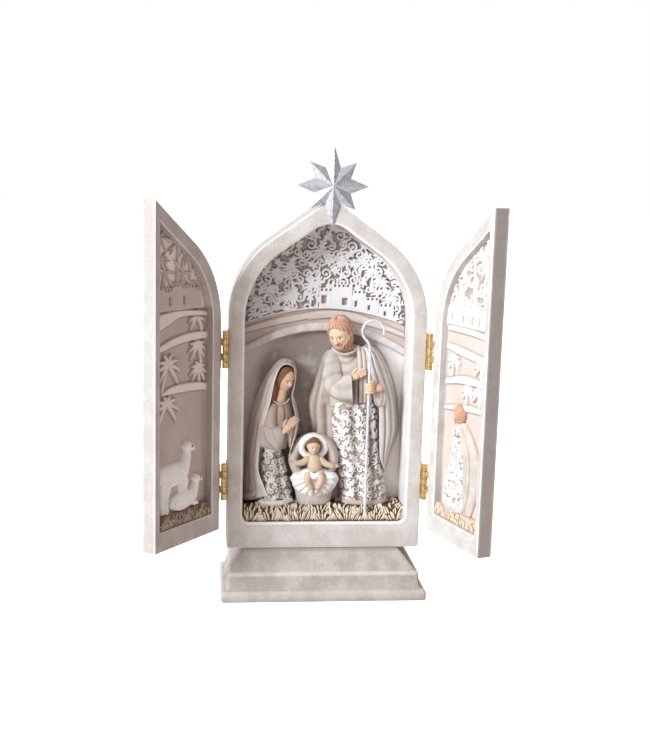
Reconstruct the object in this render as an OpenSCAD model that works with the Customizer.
// Nativity triptych: a pointed-arch case on a moulded plinth, with two hinged doors.
// Sizes are in millimetres and +Z is up. The origin is the centre of the underside,
// and the open side of the case looks along -Y.

/* [Case] */
// Width of the case
case_w = 112; // [104:1:126]
// Depth of the case, front to back
case_d = 36; // [33:1:46]
// Height of the case's straight sides
side_h = 132.5; // [128:0.5:146]
// Rise of the pointed arch above the straight sides
arch_rise = 68; // [64:1:78]
// Radius of the arch's shoulders
shoulder_r = 55; // [48:1:58]
// Width of the frame around the recess
rim_w = 9; // [7:0.5:11]
// Height of the rail under the recess
rail_h = 15.5; // [13:0.5:20]
// Depth of the recess
recess_d = 24; // [23.5:0.5:28]
// Bevel on the edges of the case
case_bevel = 1.6; // [0.8:0.1:2.2]

/* [Plinth] */
// Width of the plinth at its lip
plinth_w = 118; // [112:1:136]
// Depth of the plinth at its lip
plinth_d = 53; // [50:1:64]
// Height of the plinth
plinth_h = 27.5; // [24:0.5:34]
// Height of the plinth's rounded lip
lip_h = 6.7; // [5:0.1:8]
// Height at which the cove ends and the slope starts
step_h = 15.8; // [13:0.1:18]
// How far the slope starts inside the lip
step_in = 4.4; // [3:0.1:6]
// How far the top of the slope lies inside the lip
neck_in = 15; // [11:0.5:18]
// Distance from the front of the lip to the front of the case
case_set = 15.5; // [12:0.5:18]
// Thickness of the felt sheet under the plinth
felt_t = 1; // [0.8:0.1:1.6]
// How far the felt stands out of its pocket
felt_proud = 0.4; // [0.2:0.1:0.6]
// Margin between the felt and the plinth's edge
felt_in = 4; // [3:0.5:8]
// Diameter of the dowels between plinth and case
dowel_d = 6; // [4:0.5:8]
// Length of a dowel
dowel_l = 18; // [12:1:22]
// Distance between the dowels
dowel_pitch = 50; // [36:1:64]

/* [Doors] */
// Thickness of a door
door_t = 9; // [8:0.5:12]
// Gap between a closed door and the front of the case
door_gap = 3.1; // [3.1:0.1:4]
// Gap between the two closed doors
door_meet = 0.8; // [0.6:0.1:2]
// How far the door's arch lies below the arch of the case
door_drop = 2; // [1:0.5:5]
// Height of the door's lower edge above the underside of the case
door_lift = 12; // [8:0.5:16]
// Frame of a door at its hinged edge
door_rim = 7; // [6:0.5:9]
// Frame of a door at its free edge
door_lap = 4; // [3:0.5:6]
// Rail at the bottom of a door
door_rail = 11; // [8:0.5:14]
// Depth of the tray in a door
tray_d = 5.5; // [5.3:0.1:6]
// Bevel on the edges of a door
door_bevel = 1.2; // [0.6:0.1:1.6]
// Opening angle at which the left door stands
left_open = 128; // [0:1:180]
// Opening angle at which the right door stands
right_open = 108; // [0:1:180]

/* [Hinges] */
// Length of a hinge
hinge_l = 21; // [16:1:24]
// Height of the lower hinges above the underside of the case
hinge_low = 40; // [34:1:50]
// Height of the upper hinges above the underside of the case
hinge_high = 116; // [96:1:118]
// Distance from the side of the case to the hinge axis
hinge_out = 1.8; // [1.8:0.1:2.2]
// Outer diameter of a hinge knuckle
knuckle_d = 3.4; // [3:0.1:3.5]
// Diameter of a hinge pin
hinge_pin_d = 1.6; // [1.2:0.1:1.8]
// Thickness of a hinge leaf
leaf_t = 0.7; // [0.5:0.1:0.8]
// Width of a hinge leaf, from its axis
leaf_w = 9; // [8:0.5:10]
// Gap between neighbouring knuckles
knuckle_gap = 0.3; // [0.2:0.05:0.4]
// Radial clearance of a hinge pin
pin_clear = 0.05; // [0.02:0.01:0.08]
// Diameter of a hinge screw's shank
screw_d = 1.2; // [1:0.1:1.4]
// Diameter of a hinge screw's head
screw_head_d = 2.4; // [2:0.1:2.8]
// Length of a hinge screw
screw_l = 5; // [4:0.5:6]

/* [Star] */
// Length of the star's upright rays
star_long = 22.3; // [18:0.1:24]
// Length of the star's level rays
star_side = 19.8; // [16:0.1:22]
// Length of the star's slanting rays
star_diag = 17.9; // [14:0.1:20]
// Radius of the corners between the rays
star_waist = 10.6; // [8:0.1:12]
// Thickness of the star at its centre
star_h = 3.9; // [3:0.1:4]
// Thickness of the star at its edge
star_edge = 0.8; // [0.6:0.1:1]
// Height of the star's centre above the point of the arch
star_up = 6.8; // [5:0.1:9]
// Diameter of the pin behind the star
star_pin_d = 1.6; // [1.2:0.1:1.8]
// Length of the pin behind the star
star_pin_l = 7; // [5:0.5:9]

/* [Scenery] */
// Thickness of the sky panel on the back of the recess
sky_t = 3; // [2:0.5:3.5]
// Thickness of the pierced tracery
tracery_t = 1.8; // [1.2:0.1:2]
// Width of the white band over the group
band_w = 4.5; // [3:0.5:6]
// Thickness of the white band
band_t = 2; // [1:0.5:2]
// Height of the band's crown above the floor of the recess
band_up = 115; // [112:1:116]
// How far the band falls from its crown to the frame
band_fall = 18; // [12:1:24]
// Height of the tracery's foot above the band's crown
sky_up = 3; // [2:0.5:8]
// Height of the straw bed above the floor of the recess
straw_h = 8; // [6:0.5:12]
// Depth of the straw bed from the back of the recess
straw_d = 23; // [22:0.5:23]
// Height of the straw strip in a door
door_straw_h = 7; // [5:0.5:9]
// Thickness of a door's reliefs
relief_t = 2.4; // [1.6:0.1:3]

/* [Figures] */
// Height of the kneeling mother
mother_h = 83; // [76:1:86]
// Distance from the left wall of the recess to the mother's axis
mother_in = 18; // [17:0.5:19]
// Height of the standing father
father_h = 109.5; // [98:0.5:112]
// Distance from the right wall of the recess to the father's axis
father_in = 30.5; // [30:0.5:32]
// Length of the manger
manger_l = 23; // [20:0.5:23.5]
// Distance from the mid-line to the manger's axis
manger_off = 5; // [4.5:0.1:5.5]
// Diameter of the shepherd's crook
crook_d = 2; // [1.4:0.1:2]
// Radius of the crook's hook
hook_r = 6.2; // [5:0.1:7]
// Height of the standing lamb
lamb_h = 39; // [34:1:46]
// Height of the lying lamb
small_lamb_h = 21; // [18:1:26]
// Height of the shepherd on the right door
shepherd_h = 60; // [54:1:62]

/* [Hidden] */

// Colours
ivory = [0.87, 0.83, 0.80];
sand = [0.68, 0.57, 0.49];
white = [0.93, 0.93, 0.92];
straw_gold = [0.84, 0.74, 0.58];
brass = [0.76, 0.60, 0.30];
silver = [0.74, 0.76, 0.80];
steel = [0.60, 0.60, 0.62];
felt_green = [0.20, 0.24, 0.20];
robe = [0.84, 0.79, 0.75];
skin = [0.90, 0.77, 0.64];

// A hair of room between seated pieces, and steps on curved outlines
seat = 0.05;
arc_steps = 14;

// Levels and planes of the case
case_front = case_set - plinth_d / 2;
case_back = case_front + case_d;
case_z = plinth_h;
spring_z = case_z + side_h;
apex_z = spring_z + arch_rise;
recess_back = case_front + recess_d;
floor_z = case_z + rail_h;
recess_half = case_w / 2 - rim_w;

// The door's planes when closed: inner face and tray floor
door_in = case_front - door_gap;
tray_y = door_in - tray_d;
door_z = case_z + door_lift;
tray_z = door_z + door_rail;
axis_x = case_w / 2 + hinge_out;
axis_y = case_front - door_gap / 2;

// Places in the recess
ground_z = floor_z + straw_h;
mother_x = mother_in - recess_half;
father_x = recess_half - father_in;
manger_x = -manger_off;
crown_z = floor_z + band_up;
star_z = apex_z + star_up;

// Profile of the straw bed: flat under the figures, then falling to the front
straw_flat = 17;
straw_lip = 3;
function straw_top(depth) = depth <= straw_flat ? ground_z :
  ground_z - (straw_h - straw_lip) * (depth - straw_flat) / (straw_d - straw_flat);

// Heights at which the figures are drawn
mother_drawn = 83.6;
father_drawn = 107.4;
manger_drawn = 23;
lamb_drawn = 42;
small_lamb_drawn = 24;
shepherd_drawn = 66;

// Outline of a pointed arch: shoulder arcs that run into straight lines to the point
function shoulder_turn(w, rise, r) =
  let (e = w / 2 - r)
  asin(r / norm([rise, e])) + atan2(e, rise);

function shoulder(w, side, rise, r) =
  [for (i = [0:arc_steps])
    let (a = shoulder_turn(w, rise, r) * i / arc_steps)
    [w / 2 - r + r * cos(a), side + r * sin(a)]];

function mirrored(pts) = [for (i = [len(pts) - 1:-1:0]) [-pts[i][0], pts[i][1]]];

function arch(w, side, rise, r) =
  let (right = shoulder(w, side, rise, r))
  concat([[w / 2, 0]], right, [[0, side + rise]], mirrored(right), [[-w / 2, 0]]);

module case_outline() {
  translate([0, case_z]) polygon(arch(case_w, side_h, arch_rise, shoulder_r));
}

module recess_outline(inset = 0) {
  intersection() {
    offset(delta = -rim_w - inset) case_outline();
    translate([-case_w / 2, floor_z + inset]) square([case_w, apex_z]);
  }
}

// Half of the arch, set lower, for the left door
module door_outline() {
  intersection() {
    translate([0, -door_drop]) case_outline();
    translate([-case_w / 2, door_z]) square([(case_w - door_meet) / 2, apex_z]);
  }
}

module tray_outline(inset = 0) {
  free_edge = -door_meet / 2 - door_lap - inset;
  intersection() {
    offset(delta = -door_rim - inset) translate([0, -door_drop]) case_outline();
    translate([-case_w / 2, tray_z + inset]) square([case_w / 2 + free_edge, apex_z]);
  }
}

// Stands a drawing in X and Z upright with its front at -Y, t thick and its back at y
module upright(y, t) {
  translate([0, y, 0]) rotate([90, 0, 0]) linear_extrude(t) children();
}

// A slab with bevelled edges on both faces, from a convex outline
module bevelled(y, t, bevel) {
  hull() {
    upright(y - bevel, t - 2 * bevel) children();
    upright(y, t) offset(delta = -bevel) children();
  }
}

// Swings a closed door about its hinge axis
module swing(side, angle) {
  translate([side * axis_x, axis_y, 0])
    rotate([0, 0, side * angle])
      translate([-side * axis_x, -axis_y, 0]) children();
}

module left_swing() { swing(-1, left_open) children(); }
module right_swing() { swing(1, right_open) children(); }

// A solid through rings of equal point counts, bottom ring first
module loft(rings) {
  n = len(rings[0]);
  top = len(rings) - 1;
  sides = [for (j = [0:top - 1]) for (i = [0:n - 1]) each
    let (k = (i + 1) % n)
    [[j * n + i, (j + 1) * n + i, (j + 1) * n + k], [j * n + i, (j + 1) * n + k, j * n + k]]];
  polyhedron(
    [for (ring = rings) each ring],
    concat([[for (i = [0:n - 1]) i]], sides, [[for (i = [n - 1:-1:0]) top * n + i]])
  );
}

// Relief with a flat back: each row is [height, left, right, depth], with folds on its front
module relief(rows, steps = 14, folds = 0, amount = 0) {
  loft([for (row = rows) [for (i = [0:steps])
    let (
      a = 180 * i / steps,
      mid = (row[1] + row[2]) / 2,
      half = (row[2] - row[1]) / 2,
      fold = 1 + amount * cos(folds * a) * sin(a)
    )
    [mid - half * cos(a), -row[3] * pow(sin(a), 0.7) * fold, row[0]]]]);
}

// A chain of balls joined into a limb, each row is [x, depth, z, radius]
module limb(rows, sides = 12) {
  for (i = [0:len(rows) - 2])
    hull()
      for (row = [rows[i], rows[i + 1]])
        translate([row[0], -row[1], row[2]]) sphere(row[3], $fn = sides);
}

module ball(x, depth, z, size, sides = 16) {
  translate([x, -depth, z]) scale(size) sphere(1, $fn = sides);
}

// Head of a cast figure, looking along -Y, with brow, nose and chin
module head(half_h) {
  hull() {
    ball(0, -0.1 * half_h, 0.22 * half_h, [0.74, 0.86, 0.78] * half_h);
    ball(0, 0.12 * half_h, -0.5 * half_h, [0.5, 0.56, 0.46] * half_h, 12);
  }
  limb([[0, 0.74 * half_h, 0.16 * half_h, 0.1 * half_h],
        [0, 0.88 * half_h, -0.16 * half_h, 0.14 * half_h]], 8);
  limb([[-0.4 * half_h, 0.58 * half_h, 0.2 * half_h, 0.13 * half_h],
        [0.4 * half_h, 0.58 * half_h, 0.2 * half_h, 0.13 * half_h]], 8);
}

// Leaf of a palm: a drooping blade that leaves the crown at an angle
function blade(angle, l, w, droop, steps = 5) =
  let (
    mid = [for (i = [0:steps]) let (t = i / steps)
      [l * t * cos(angle), l * t * sin(angle) - droop * t * t]],
    half = [for (i = [0:steps]) w * sin(180 * pow(i / steps, 0.6))],
    across = [-sin(angle), cos(angle)]
  )
  concat([for (i = [0:steps]) mid[i] + half[i] * across],
         [for (i = [steps - 1:-1:1]) mid[i] - half[i] * across]);

// Flat palm tree, with its foot at the origin
module palm(h, lean, leaf_l, leaves = 7) {
  trunk_w = 0.07 * h + 0.5;
  polygon([[-trunk_w / 2, 0], [trunk_w / 2, 0],
           [lean + trunk_w / 3, h], [lean - trunk_w / 3, h]]);
  translate([lean, h])
    for (i = [0:leaves - 1])
      polygon(blade(-35 + 250 * i / (leaves - 1), leaf_l, leaf_l / 9, leaf_l / 3));
}

// Flat scroll: a ribbon that winds inwards from angle start
module scroll(r, w, start, turns = 1.25) {
  steps = 11;
  function radius(i) = r * (1 - 0.72 * i / steps);
  function way(i) = start + 360 * turns * i / steps;
  outer = [for (i = [0:steps]) radius(i) * [cos(way(i)), sin(way(i))]];
  inner = [for (i = [steps:-1:0]) (radius(i) - w) * [cos(way(i)), sin(way(i))]];
  polygon(concat(outer, inner));
}

// Flat running vine: a waved stem with a scroll under each crest
module vine(from, to, wave, height, w, shift = 0) {
  steps = ceil((to - from) / wave * 8);
  function stem(i) = let (x = from + (to - from) * i / steps)
    [x, height * sin(360 * (x - shift) / wave)];
  polygon(concat([for (i = [0:steps]) stem(i) + [0, w / 2]],
                 [for (i = [steps:-1:0]) stem(i) - [0, w / 2]]));
  for (k = [ceil((from - shift) / wave * 2):floor((to - shift) / wave * 2) - 1])
    translate([shift + (k + 0.5) * wave / 2, 0])
      scroll(height + 0.3, w, k % 2 == 0 ? 90 : -90);
}

// Flat town: towers in a row, each [place, width, height], with battlements and slots
module town(towers, merlon = 1.6) {
  for (tower = towers) {
    count = floor(tower[1] / merlon / 2);
    difference() {
      translate([tower[0], 0]) square([tower[1], tower[2]]);
      translate([tower[0] + tower[1] / 2 - 0.6, tower[2] / 2]) square([1.2, tower[2] / 4]);
    }
    for (i = [0:count])
      translate([tower[0] + i * (tower[1] - merlon) / max(count, 1), tower[2] - 0.1])
        square([merlon, merlon]);
  }
}

// Flat hill band: a ribbon that rises to a crown and thins towards both ends
module hill(from, to, z0, z1, rise, w) {
  steps = 12;
  function rib(t) = [from + (to - from) * t, z0 + (z1 - z0) * t + rise * sin(180 * t)];
  polygon(concat(
    [for (i = [0:steps]) rib(i / steps)],
    [for (i = [steps:-1:0]) rib(i / steps) - [0, w * (0.35 + 0.65 * sin(180 * i / steps))]]
  ));
}

// Upper edge of the white band, a parabola that falls from its crown to the frame
function band_top(x) = crown_z - band_fall * pow(x / recess_half, 2);

module below_band(drop) {
  steps = 24;
  reach = recess_half + rim_w;
  polygon(concat(
    [[reach, floor_z], [-reach, floor_z]],
    [for (i = [0:steps]) let (x = -reach + 2 * reach * i / steps) [x, band_top(x) - drop]]
  ));
}

// Part of the recess that the tracery fills, above a low hill
module sky_outline(inset = 0) {
  steps = 16;
  foot = crown_z + sky_up;
  difference() {
    recess_outline(seat + inset);
    polygon(concat(
      [[recess_half + 1, 0], [-recess_half - 1, 0]],
      [for (i = [0:steps]) let (x = -1 + 2 * i / steps)
        [(recess_half + 1) * x, foot - 5 + 6 * cos(90 * x) + inset]]
    ));
  }
}

module plinth() {
  round_steps = 5;
  lip_r = lip_h / 2;
  lip = [for (i = [0:round_steps]) let (a = -90 + 180 * i / round_steps)
    [felt_proud + lip_r + lip_r * sin(a) * (1 - felt_proud / lip_h), lip_r * 0.6 * (1 - cos(a))]];
  cove = [for (i = [1:round_steps]) let (a = 90 * i / round_steps)
    [lip_h + (step_h - lip_h) * (1 - cos(a)), lip_r * 0.6 + (step_in - lip_r * 0.6) * sin(a)]];
  slope = [[step_h + 0.6, step_in + 1.4], [plinth_h, neck_in]];
  profile = concat(lip, cove, slope);
  color(ivory) difference() {
    loft([for (p = profile)
      let (x = plinth_w / 2 - p[1], y = p[1] - plinth_d / 2)
      [[-x, y, p[0]], [x, y, p[0]], [x, plinth_d / 2, p[0]], [-x, plinth_d / 2, p[0]]]]);
    felt_sheet(seat, felt_t);
    dowels(seat);
  }
}

module felt_sheet(extra, t) {
  corner = 3;
  w = plinth_w - 2 * felt_in + 2 * extra;
  d = plinth_d - 2 * felt_in + 2 * extra;
  linear_extrude(t)
    offset(r = corner, $fn = 32) square([w - 2 * corner, d - 2 * corner], center = true);
}

module base_felt() { color(felt_green) felt_sheet(0, felt_t); }

module dowels(extra) {
  for (side = [-1, 1])
    translate([side * dowel_pitch / 2, (case_front + case_back) / 2, case_z - dowel_l / 2 - extra])
      cylinder(d = dowel_d + 2 * extra, h = dowel_l + 2 * extra, $fn = 48);
}

module plinth_dowels() { color(steel) dowels(0); }

module case() {
  color(ivory) difference() {
    bevelled(case_back, case_d, case_bevel) case_outline();
    upright(recess_back, recess_d + 1) recess_outline();
    dowels(seat);
    star_peg(seat);
    for (side = [-1, 1]) hinge_screws_at(side, 1, seat);
  }
}

// Eight-rayed star: ridges run from its raised centre to the tips, and its back is flat
module star() {
  reach = [star_side, star_diag, star_long, star_diag];
  rim = [for (i = [0:15]) let (a = 22.5 * i, r = i % 2 ? star_waist : reach[(i / 2) % 4])
    [r * cos(a), r * sin(a)]];
  back = [for (p = rim) [p[0], 0, p[1]]];
  edge = [for (p = rim) [p[0], -star_edge, p[1]]];
  facets = [for (i = [0:15]) let (k = (i + 1) % 16) each
    [[i, 16 + i, 16 + k], [i, 16 + k, k], [16 + i, 32, 16 + k], [i, k, 33]]];
  color(silver) translate([0, case_front, star_z]) difference() {
    polyhedron(concat(back, edge, [[0, -star_h, 0], [0, 0, 0]]), facets);
    translate([0, -case_front, -star_z]) star_peg(seat);
  }
}

// The pin sits on the lower ray, between the point of the arch and the recess
module star_peg(extra) {
  in_star = 0.9;
  translate([0, case_front - in_star - extra, apex_z - rim_w * 0.8])
    rotate([-90, 0, 0])
      cylinder(d = star_pin_d + 2 * extra, h = star_pin_l + 2 * extra, $fn = 24);
}

module star_pin() { color(steel) star_peg(0); }

module sky_panel() {
  color(sand) upright(recess_back - seat, sky_t) offset(delta = 0.01) difference() {
    recess_outline(seat);
    below_band(band_w);
  }
}

// Closes hair gaps and slivers in a flat pattern
module mended(gap = 0.3) {
  offset(delta = -gap) offset(delta = gap) children();
}

module sky_tracery() {
  foot = crown_z + sky_up;
  frame = 1.1;
  row_pitch = 9.2;
  drawn_h = 67;
  color(white) upright(recess_back - sky_t - 2 * seat, tracery_t) mended() {
    difference() {
      sky_outline(0.2);
      sky_outline(0.2 + frame);
    }
    intersection() {
      sky_outline(0.4);
      translate([0, foot]) scale([1, (apex_z - foot) / drawn_h]) {
        for (tree = [[-36, 13, -2], [-26, 25, 2], [-14, 18, -3], [-4, 33, 1], [18, 29, 2], [37, 15, 2]])
          translate([tree[0], -6]) palm(tree[1], tree[2], 9, 7);
        translate([3, -5]) town([[0, 8, 8], [7, 5, 11], [11, 10, 8], [20, 5, 12], [24, 9, 7]]);
        for (row = [0:4])
          translate([0, 4 + row * row_pitch])
            vine(-recess_half, recess_half, 17, 4, 1.1, row % 2 * 8.5);
      }
    }
  }
}

module hill_bands() {
  y = recess_back - sky_t - 2 * seat;
  color(ivory) upright(y, band_t * 0.6) offset(delta = 0.05) intersection() {
    difference() {
      recess_outline(2 * seat);
      sky_outline(-1);
      below_band(-1);
    }
    union() {
      hill(-recess_half, 6, band_top(recess_half) + 8, crown_z + 2, 4, 5);
      hill(-14, recess_half, crown_z + 3, band_top(recess_half) + 10, 2, 5);
    }
  }
}

module grotto_band() {
  color(white) upright(recess_back - sky_t - 2 * seat, band_t) offset(delta = 0.01) intersection() {
    recess_outline(2 * seat);
    difference() {
      below_band(0);
      below_band(band_w);
    }
  }
}

// Kneeling figure with hands together, drawn from the ground up with its back at y = 0
module mother_form() {
  veil = [[0, -17, 6, 9], [6, -14.5, 8, 9.5], [16, -12.5, 6, 10], [29, -12.8, 5, 11],
          [42, -12, 5, 11.5], [52, -9.8, 6, 11.5], [66, -5.4, 10.5, 11.5], [74, -2.3, 11.8, 11],
          [79.5, 0.5, 11.5, 9.5], [83, 4, 9, 6.5], [83.6, 5, 8, 4]];
  skirt = [[0, -8, 10.5, 15.5], [5, -8.5, 11.6, 16], [16, -7, 11.6, 15.5], [26, -5, 10.5, 14.5],
           [36, -4, 9.5, 13.5]];
  bodice = [[32, -6, 9, 13], [42, -6, 10.5, 13.5], [52, -4, 11, 13.2], [60, -1, 10, 12.2],
            [64, 2, 8.5, 10]];
  relief(veil, 16, 9, 0.08);
  relief(skirt, 14, 7, 0.06);
  relief(bodice, 12);
  limb([[4.6, 10, 61, 2.8], [5.4, 11, 68, 2.5]]);
  translate([6, -11.6, 72]) rotate([12, 0, 28]) head(6.6);
  limb([[2, 12.4, 79, 1.8], [-0.2, 13.4, 71, 1.9], [-0.8, 13, 62, 1.8]], 10);
  limb([[5, 11, 82, 1.7], [-1.6, 12, 75, 1.8], [-4.4, 12.4, 63, 1.8], [-7, 12.6, 50, 1.8],
        [-8.2, 13, 32, 1.8], [-8.4, 13.4, 12, 2]], 10);
  limb([[8, 11, 82, 1.5], [11.6, 12.4, 75, 1.5], [10.6, 13, 66, 1.5], [12.6, 13.4, 56, 1.5],
        [13.6, 13.6, 47, 1.6], [11.4, 14, 33, 1.7]], 10);
  limb([[-1.5, 12.4, 57, 3.6], [-1.5, 14.6, 42, 4.6], [4, 16.4, 43, 3.4], [7.6, 16.8, 45.5, 1.9]]);
  limb([[-1, 15, 41, 4.6], [1.6, 15.6, 33, 2.6]]);
  limb([[7.4, 17, 44.5, 1.6], [10.4, 16.8, 51.5, 0.9]], 10);
}

module kneeling_mother() {
  color(robe)
    translate([mother_x, recess_back - seat, ground_z + seat])
      scale(mother_h / mother_drawn) mother_form();
}

// Standing figure with one hand on the chest and one on the crook
module father_form() {
  left_mantle = [[0, -23, -6, 6.2], [20, -24.4, -6, 6.4], [43, -25.4, -7, 7.4],
                 [60, -24, -8, 9], [79, -17.8, -6, 11], [86, -14, 0, 11]];
  right_mantle = [[18, 17, 21.4, 7], [26, 13, 23.4, 9], [44, 12, 26, 11], [63, 10, 24.8, 12.5],
                  [81, 4, 17.4, 12.5], [88, -2, 10, 11]];
  skirt = [[0, -4.6, 21.4, 15.6], [6, -5.4, 22, 16], [20, -7.4, 19.5, 15.6], [40, -11, 16.5, 15],
           [61, -13.4, 15, 14.6]];
  tunic = [[57, -14.5, 15.5, 15], [66, -16, 15.5, 15.4], [76, -16.5, 14, 15], [84, -16, 11.5, 13.5],
           [88.5, -11, 6, 11.6], [91, -8, 1, 9]];
  relief(left_mantle, 12, 8, 0.08);
  relief(right_mantle, 12, 8, 0.08);
  relief(skirt, 16, 9, 0.04);
  relief(tunic, 14, 6, 0.03);
  limb([[-13, 12.6, 81, 5.2], [-13.4, 15.6, 64, 4.6], [-4, 17, 67, 4.4], [1.6, 18, 75, 2.6]]);
  limb([[-10, 15.6, 63, 4.4], [-3, 16, 60, 3]]);
  limb([[1.6, 18.4, 75.4, 2], [5.8, 18.6, 79, 1.4]], 10);
  limb([[9.5, 11.6, 81, 5], [19.6, 14, 68, 4.8], [14.6, 17, 69, 2.6]]);
  limb([[18, 14.6, 66, 4.2], [17.4, 14.6, 58.5, 3]]);
  limb([[14.6, 17.2, 69, 2.1], [9.2, 17.6, 68.4, 1.9]], 10);
  limb([[-5.6, 10, 87, 4], [-7, 12, 93, 3.8]]);
  translate([-8, -14, 97.4]) rotate([16, -8, -18]) {
    head(8.8);
    difference() {
      ball(0, -1.2, 2.6, [7.4, 8, 7.6]);
      translate([-10, -14, -10]) cube([20, 10, 13.4]);
    }
    limb([[-4.4, 2, -3, 2.6], [0, 5, -7.4, 3], [4.4, 2, -3, 2.6]], 10);
  }
}

module standing_father() {
  color(robe)
    translate([father_x, recess_back - seat, ground_z + seat])
      scale(father_h / father_drawn) father_form();
}

// The crook stands in front of the father's hand, on the slope of the straw
father_s = father_h / father_drawn;
hook_x = father_x + father_s * 9;
hook_z = ground_z + father_s * 101.2;
crook_y = recess_back - father_s * 19.6 - crook_d / 2 - 0.2;
neck_turn = 45;
neck_r = 10;
crook_x = hook_x - hook_r * cos(neck_turn) + neck_r * (1 - cos(neck_turn));
neck_z = hook_z - hook_r * sin(neck_turn) - neck_r * sin(neck_turn);
crook_sink = 2.5;
crook_foot = straw_top(recess_back - crook_y) - crook_sink;

// Tube along a path in the X-Z plane, as rings square to the path
module tube(path, d, sides = 10) {
  last = len(path) - 1;
  loft([for (i = [0:last])
    let (
      run = path[min(i + 1, last)] - path[max(i - 1, 0)],
      along = run / norm(run)
    )
    [for (k = [0:sides - 1])
      let (a = 360 * k / sides, across = d / 2 * cos(a))
      [path[i][0] - across * along[1], -d / 2 * sin(a), path[i][1] + across * along[0]]]]);
}

module crook() {
  end_turn = 20;
  neck = [for (a = [0:15:neck_turn]) [crook_x - neck_r + neck_r * cos(a), neck_z + neck_r * sin(a)]];
  hook = [for (a = [180 + neck_turn - 15:-15:-end_turn])
    [hook_x + hook_r * cos(a), hook_z + hook_r * sin(a)]];
  color(silver) translate([0, crook_y, 0])
    tube(concat([[crook_x, crook_foot]], neck, hook), crook_d);
}

// Cradle with a pleated cloth and a round nest behind the infant's head
module manger_form() {
  pleats = 12;
  hull() {
    translate([-10, -17, 0]) cube([20, 7.4, 1]);
    translate([-11.2, -18.4, 11]) cube([22.4, 9.8, 1.5]);
  }
  difference() {
    ball(0, 8.6, 26.8, [11, 5, 15.5], 24);
    translate([-12, -8.4, 10]) cube([24, 9, 36]);
    ball(0, 14.6, 31, [8.6, 4.4, 9.6], 20);
  }
  for (i = [0:pleats - 1])
    let (a = 180 + 180 * i / (pleats - 1), k = i % 2)
    hull() {
      ball(9.8 * cos(a), 13.6 - 4.2 * sin(a), 13 + k, [1.5, 1.5, 1.5], 8);
      ball(8.4 * cos(a), 13.6 - 3.4 * sin(a), 8, [1.7, 1.2, 1.7], 8);
    }
}

module manger() {
  color(robe) translate([manger_x, recess_back - seat, ground_z + seat])
    scale(manger_l / manger_drawn) manger_form();
}

// Infant with open arms, its back to the nest and its feet over the cloth
module infant_form() {
  translate([-1, -16.4, 34.2]) rotate([6, 0, 10]) head(5);
  ball(-1, 15, 36.6, [4.5, 3.6, 4]);
  hull() {
    ball(-0.8, 16.4, 27, [4, 3, 3.4]);
    ball(-0.6, 17, 20.4, [3.8, 3, 3.2]);
  }
  limb([[-0.9, 16.2, 28, 2], [-1, 16.2, 31.5, 2]], 8);
  limb([[-3.6, 16.4, 27.6, 1.7], [-7, 17, 25, 1.5], [-10, 17.2, 26.4, 1.2]], 10);
  limb([[2.6, 16.4, 27.6, 1.7], [6, 17, 25.4, 1.5], [9, 17.2, 27, 1.2]], 10);
  limb([[-2.6, 17.4, 19, 2.1], [-3.6, 20.2, 15.6, 1.8], [-1.8, 20.8, 10, 1.3]], 10);
  limb([[1.4, 17.4, 19, 2.1], [2.6, 20.2, 15.2, 1.8], [1.6, 20.8, 9.6, 1.3]], 10);
}

module infant() {
  room = 0.15;
  color(skin) translate([manger_x, recess_back - seat, ground_z + seat])
    scale(manger_l / manger_drawn) difference() {
      infant_form();
      manger_form();
      translate([0, -room, room]) manger_form();
    }
}

module straw_bed() {
  stalks = 46;
  half = recess_half - seat;
  color(straw_gold) difference() {
    translate([-half, recess_back - seat, floor_z + seat]) rotate([90, 0, 90])
      loft([for (i = [0:stalks])
        let (ridge = i % 2 ? 1.1 : 0, x = 2 * half * i / stalks)
        [[0, 0, x], [-straw_d + ridge / 2, 0, x], [-straw_d + ridge / 2, straw_lip - ridge, x],
         [-(straw_d + straw_flat) / 2, (straw_h + straw_lip) / 2 - ridge, x],
         [-straw_flat, straw_h - seat, x], [0, straw_h - seat, x]]]);
    translate([crook_x, crook_y, crook_foot - seat])
      cylinder(d = crook_d + 2 * seat, h = straw_h, $fn = 20);
  }
}

// Hinge parts are drawn about the hinge axis with the leaf towards +Y on the wall at -X
knuckles = 5;
knuckle_l = (hinge_l - (knuckles - 1) * knuckle_gap) / knuckles;

module leaf(own) {
  bore_d = hinge_pin_d + 2 * pin_clear;
  other_r = knuckle_d / 2 + knuckle_gap;
  difference() {
    union() {
      translate([-hinge_out, other_r, -hinge_l / 2]) cube([leaf_t, leaf_w - other_r, hinge_l]);
      for (i = own)
        translate([0, 0, -hinge_l / 2 + i * (knuckle_l + knuckle_gap)]) {
          cylinder(d = knuckle_d, h = knuckle_l, $fn = 40);
          translate([-hinge_out, 0, 0]) cube([leaf_t, other_r + 0.1, knuckle_l]);
        }
    }
    translate([0, 0, -hinge_l]) cylinder(d = bore_d, h = 2 * hinge_l, $fn = 32);
    screw_pair(seat);
  }
}

// Two countersunk screws through a leaf, into the wall behind it
module screw_pair(extra) {
  head_l = (screw_head_d - screw_d) / 2;
  for (z = [-1, 1])
    translate([leaf_t - hinge_out, (leaf_w + knuckle_d / 2) / 2, z * hinge_l / 3.4])
      rotate([0, -90, 0]) {
        translate([0, 0, -extra]) cylinder(d1 = screw_head_d + 2 * extra, d2 = screw_d + 2 * extra,
                                           h = head_l + extra, $fn = 24);
        cylinder(d = screw_d + 2 * extra, h = screw_l + extra, $fn = 24);
      }
}

// Sets hinge parts on the case: side -1 is the left, and the right is its mirror image
module at_hinge(side, up) {
  translate([side * axis_x, axis_y, case_z + up])
    mirror([side < 0 ? 1 : 0, 0, 0]) children();
}

// Sets the same parts on a closed door, where the leaf lies towards -Y
module at_door_hinge(side, up) {
  at_hinge(side, up) mirror([0, 1, 0]) children();
}

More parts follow.
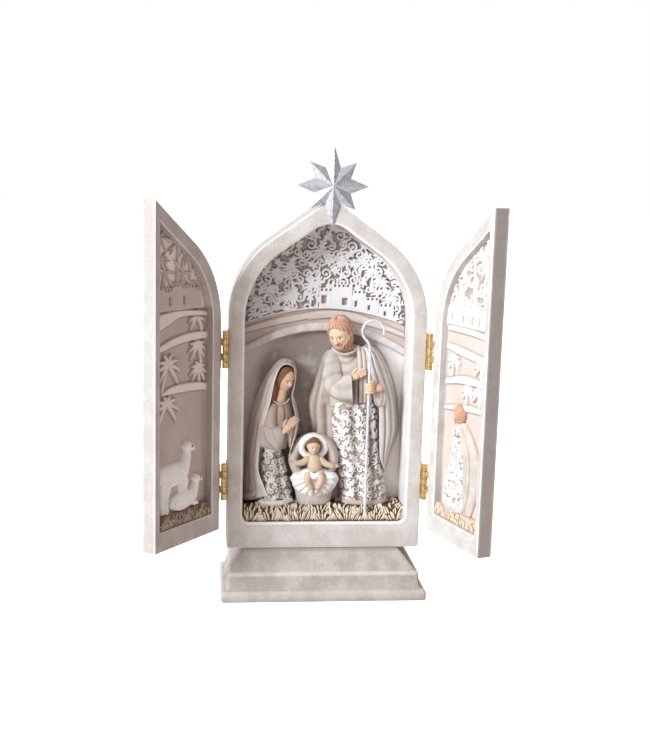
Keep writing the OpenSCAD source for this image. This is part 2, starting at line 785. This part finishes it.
// Screws of both hinges on one side, into the case (1) or into the closed door (-1)
module hinge_screws_at(side, way, extra) {
  for (up = [hinge_low, hinge_high])
    if (way > 0) at_hinge(side, up) screw_pair(extra);
    else at_door_hinge(side, up) screw_pair(extra);
}

module case_leaf(side, up) { color(brass) at_hinge(side, up) leaf([0, 2, 4]); }

module door_leaf(side, up) {
  color(brass) swing(side, side < 0 ? left_open : right_open)
    at_door_hinge(side, up) leaf([1, 3]);
}

module hinge_pin(side, up) {
  color(brass) at_hinge(side, up)
    translate([0, 0, -hinge_l / 2]) cylinder(d = hinge_pin_d, h = hinge_l, $fn = 32);
}

module case_hinge_screws() {
  color(brass) for (side = [-1, 1]) hinge_screws_at(side, 1, 0);
}

module left_door_screws() { color(brass) left_swing() hinge_screws_at(-1, -1, 0); }
module right_door_screws() { color(brass) right_swing() hinge_screws_at(1, -1, 0); }

// A door drawn on the left side, closed
module door_panel() {
  difference() {
    bevelled(door_in, door_t, door_bevel) door_outline();
    upright(door_in + 1, tray_d + 1) tray_outline();
    hinge_screws_at(-1, -1, seat);
  }
}

module left_door_panel() { color(ivory) left_swing() door_panel(); }
module right_door_panel() { color(ivory) right_swing() mirror([1, 0, 0]) door_panel(); }

// Reliefs on the floor of a door's tray, standing out towards +Y when the door is closed
module in_tray(t) {
  upright(tray_y + seat + t, t) mended() intersection() {
    tray_outline(2 * seat);
    union() children();
  }
}

// Drawing places in a door: u from the hinged edge, v above the tray's lower edge
module door_place(u, v) { translate([u - case_w / 2, tray_z + v]) children(); }

// Heights above the tray's lower edge: the town's foot, which keeps its place below the arch,
// the lowest hill over the figures, and the hills between them
town_v = spring_z - door_drop - tray_z + 6.5;
tracery_v = town_v + 17;
left_low_v = 72;
right_low_v = 80;
function hill_levels(low) = [for (share = [0, 0.38, 0.765]) low + (town_v - low) * share];

// Width of the case for which the doors' tracery and town are drawn
door_drawn_w = 112;
module fitted_width() { scale([case_w / door_drawn_w, 1]) children(); }

// Distance of the figures in the trays from the hinged edge
lamb_u = 32;
small_lamb_u = 23.5;
shepherd_u = 24;

module palm_tracery() {
  frame = 1.1;
  difference() {
    tray_outline(2 * seat);
    tray_outline(2 * seat + frame);
    translate([-case_w, 0]) square([case_w, tray_z + tracery_v]);
  }
  door_place(0, tracery_v) fitted_width() {
    square([door_drawn_w / 2, 1.5]);
    for (tree = [[14, 11, -1], [24, 19, 1], [33, 25, -1], [43, 15, 2]])
      translate([tree[0], 0]) palm(tree[1], tree[2], 8, 7);
    for (row = [0:4])
      translate([0, 5 + row * 8]) vine(4, door_drawn_w / 2, 15, 3.4, 1, row % 2 * 7.5);
  }
}

module town_walls() {
  door_place(0, town_v) fitted_width() {
    town([[5, 8, 9], [12, 6, 12], [17, 12, 9], [28, 7, 13], [34, 10, 10], [43, 9, 12]]);
    translate([4, -2]) square([52, 3]);
  }
}

// Hill bands that rise towards the free edge, with palms that stand on them
module hills_and_palms(levels, low_palm_h) {
  for (v = levels)
    door_place(0, v) hill(4, 54, -4, 4, v == levels[0] ? 4 : 2, 6);
  door_place(41, levels[0]) palm(levels[1] - levels[0] - 1, -2, 8.5);
  door_place(14, levels[0] - 2) palm(levels[1] - levels[0] - 1, 2, 6.5);
  door_place(16, levels[1] - 3) palm(levels[2] - levels[1] - 1, 1, 6);
  door_place(42, levels[0] - 5 - low_palm_h) palm(low_palm_h, -3, 8.5);
}

module left_palm_tracery() { color(white) left_swing() in_tray(relief_t * 0.7) palm_tracery(); }
module right_palm_tracery() {
  color(white) right_swing() mirror([1, 0, 0]) in_tray(relief_t * 0.7) palm_tracery();
}

module left_town() { color(white) left_swing() in_tray(relief_t) town_walls(); }
module right_town() { color(white) right_swing() mirror([1, 0, 0]) in_tray(relief_t) town_walls(); }

module left_hills() {
  color(ivory) left_swing() in_tray(relief_t * 0.6)
    hills_and_palms(hill_levels(left_low_v), 20);
}
module right_hills() {
  color(ivory) right_swing() mirror([1, 0, 0]) in_tray(relief_t * 0.6)
    hills_and_palms(hill_levels(right_low_v), 11);
}

// Places a relief that is drawn with its back at y = 0 on the tray's floor, turned to face +Y
module on_tray(u, v) {
  translate([u - case_w / 2, tray_y + seat, tray_z + v + seat]) mirror([0, 1, 0]) children();
}

// Lamb standing with a raised neck, facing the hinged edge
module lamb_form() {
  limb([[8, 2.2, 24, 2.2], [-5, 2.2, 25, 2.2]], 12);
  ball(2, 1.4, 22, [12, 3.4, 7.4], 20);
  limb([[-6, 2.2, 25, 3.2], [-9, 2.2, 33, 2.4], [-9.6, 2.2, 38, 2.4]]);
  limb([[-9, 2.6, 38.4, 2.5], [-14, 2.6, 36, 1.4]]);
  limb([[-8.4, 2.4, 40.4, 1.2], [-6, 2, 38.6, 0.9]], 8);
  for (x = [-7, -3.6, 7.4, 10.6])
    limb([[x, 1.8, 18, 1.9], [x + 0.6, 1.6, 1.4, 1.3]], 10);
  limb([[13, 1.6, 25, 1.2], [14.6, 1.4, 19, 0.9]], 8);
}

module above_floor(w, h) {
  intersection() {
    children();
    translate([-w, -tray_d + 0.3, 0]) cube([2 * w, tray_d - 0.3, h]);
  }
}

// The standing lamb's forelegs end on the back of the lying one
module standing_lamb() {
  room = 0.4;
  color(white) left_swing() difference() {
    on_tray(lamb_u, door_straw_h)
      above_floor(40, 60) scale(lamb_h / lamb_drawn) lamb_form();
    on_tray(small_lamb_u, door_straw_h) scale(small_lamb_h / small_lamb_drawn)
      hull() for (z = [6, -8])
        translate([3, 1, z]) rotate([90, 0, 0]) scale([10.5 + room, 6.2 + room, 1])
          cylinder(r = 1, h = tray_d + 2, $fn = 24);
  }
}

// Lamb lying down with its head raised, in front of the standing one
module small_lamb_form() {
  ball(3, 2.4, 6, [10.5, 2.6, 6.2], 20);
  limb([[-5, 2.8, 8, 3.2], [-8.6, 3, 16, 2.2], [-9, 3, 19.6, 2.2]]);
  limb([[-9, 3.2, 19.8, 2.2], [-12.8, 3.2, 18, 1.3]]);
  limb([[-8.2, 3, 21.6, 1.1], [-6, 2.8, 20, 0.8]], 8);
  limb([[-6, 2.6, 2, 1.8], [-12, 2.6, 1.6, 1.3]], 10);
  limb([[8, 2.6, 2, 2], [3, 2.8, 1.6, 1.4]], 10);
  limb([[11.4, 2, 6, 1.1], [12.6, 1.8, 3, 0.8]], 8);
  limb([[-2, 3, 3, 1.8], [-5, 3, 1.8, 1.2]], 8);
}

module lying_lamb() {
  color(white) left_swing() on_tray(small_lamb_u, door_straw_h)
    above_floor(40, 60) scale(small_lamb_h / small_lamb_drawn) small_lamb_form();
}

// Straw strip along the lower edge of a tray
module straw_strip() {
  stalks = 24;
  from = door_rim + 2 * seat;
  to = (case_w - door_meet) / 2 - door_lap - 2 * seat;
  deep = tray_d - 0.4;
  translate([from - case_w / 2, tray_y + seat, tray_z + seat]) rotate([90, 0, 90])
    loft([for (i = [0:stalks])
      let (ridge = i % 2 ? 0.9 : 0, x = (to - from) * i / stalks)
      [[0, 0, x], [deep - ridge / 2, 0, x], [deep - ridge / 2, 2.4 - ridge, x],
       [deep - 1.8 - ridge, door_straw_h - 2 * seat, x], [0, door_straw_h - 2 * seat, x]]]);
}

module left_straw() { color(straw_gold) left_swing() straw_strip(); }
module right_straw() { color(straw_gold) right_swing() mirror([1, 0, 0]) straw_strip(); }

// Shepherd in a long robe, turned to the hinged edge, with a cloak behind
module shepherd_form() {
  cloak = [[0, 2, 14, 3], [14, 4, 18.5, 3.4], [30, 4, 18.6, 3.6], [42, 0, 15, 3.6], [52, -4, 9, 3.4],
           [55, -3, 4, 2.4]];
  skirt = [[0, -13, 9, 4.4], [6, -13.6, 10, 4.6], [18, -11.6, 9.6, 4.6], [28, -9, 8.4, 4.6]];
  bodice = [[26, -9, 8.4, 4.4], [38, -8, 8.4, 4.6], [48, -6.4, 6.4, 4.2], [53, -3.6, 3, 3]];
  relief(cloak, 12, 8, 0.06);
  relief(skirt, 12, 7, 0.05);
  relief(bodice, 10);
  limb([[4, 3, 47, 2.1], [4.6, 3.2, 36, 2], [-6, 3.4, 34, 1.7]], 10);
  limb([[0, 3, 36, 2], [1, 3, 26, 1.8]], 10);
  limb([[-5, 3.4, 34, 1.5], [-9.4, 3.4, 37.4, 1]], 8);
  limb([[-1, 2, 51, 2], [-1.6, 2, 56, 2]], 10);
  translate([-2, -1.4, 59.4]) rotate([0, 0, -62]) scale([1, 0.72, 1]) head(5.8);
  ball(-0.2, 1, 61.4, [5.2, 3.6, 4.8], 14);
  limb([[2.6, 1.6, 60, 2.2], [3, 1.6, 55, 1.6]], 10);
  limb([[-12, 2.4, 1.4, 1.4], [-14.4, 2.4, 1.2, 1]], 8);
}

module shepherd() {
  color(robe) right_swing() mirror([1, 0, 0]) on_tray(shepherd_u, door_straw_h)
    above_floor(40, 80) scale(shepherd_h / shepherd_drawn) shepherd_form();
}

plinth();
base_felt();
plinth_dowels();
case();
star();
star_pin();
sky_panel();
sky_tracery();
hill_bands();
grotto_band();
kneeling_mother();
standing_father();
crook();
manger();
infant();
straw_bed();
case_leaf(-1, hinge_high);  // upper_left_case_leaf
case_leaf(-1, hinge_low);  // lower_left_case_leaf
case_leaf(1, hinge_high);  // upper_right_case_leaf
case_leaf(1, hinge_low);  // lower_right_case_leaf
hinge_pin(-1, hinge_high);  // upper_left_hinge_pin
hinge_pin(-1, hinge_low);  // lower_left_hinge_pin
hinge_pin(1, hinge_high);  // upper_right_hinge_pin
hinge_pin(1, hinge_low);  // lower_right_hinge_pin
case_hinge_screws();
left_door_panel();
left_palm_tracery();
left_town();
left_hills();
standing_lamb();
lying_lamb();
left_straw();
door_leaf(-1, hinge_high);  // upper_left_door_leaf
door_leaf(-1, hinge_low);  // lower_left_door_leaf
left_door_screws();
right_door_panel();
right_palm_tracery();
right_town();
right_hills();
shepherd();
right_straw();
door_leaf(1, hinge_high);  // upper_right_door_leaf
door_leaf(1, hinge_low);  // lower_right_door_leaf
right_door_screws();
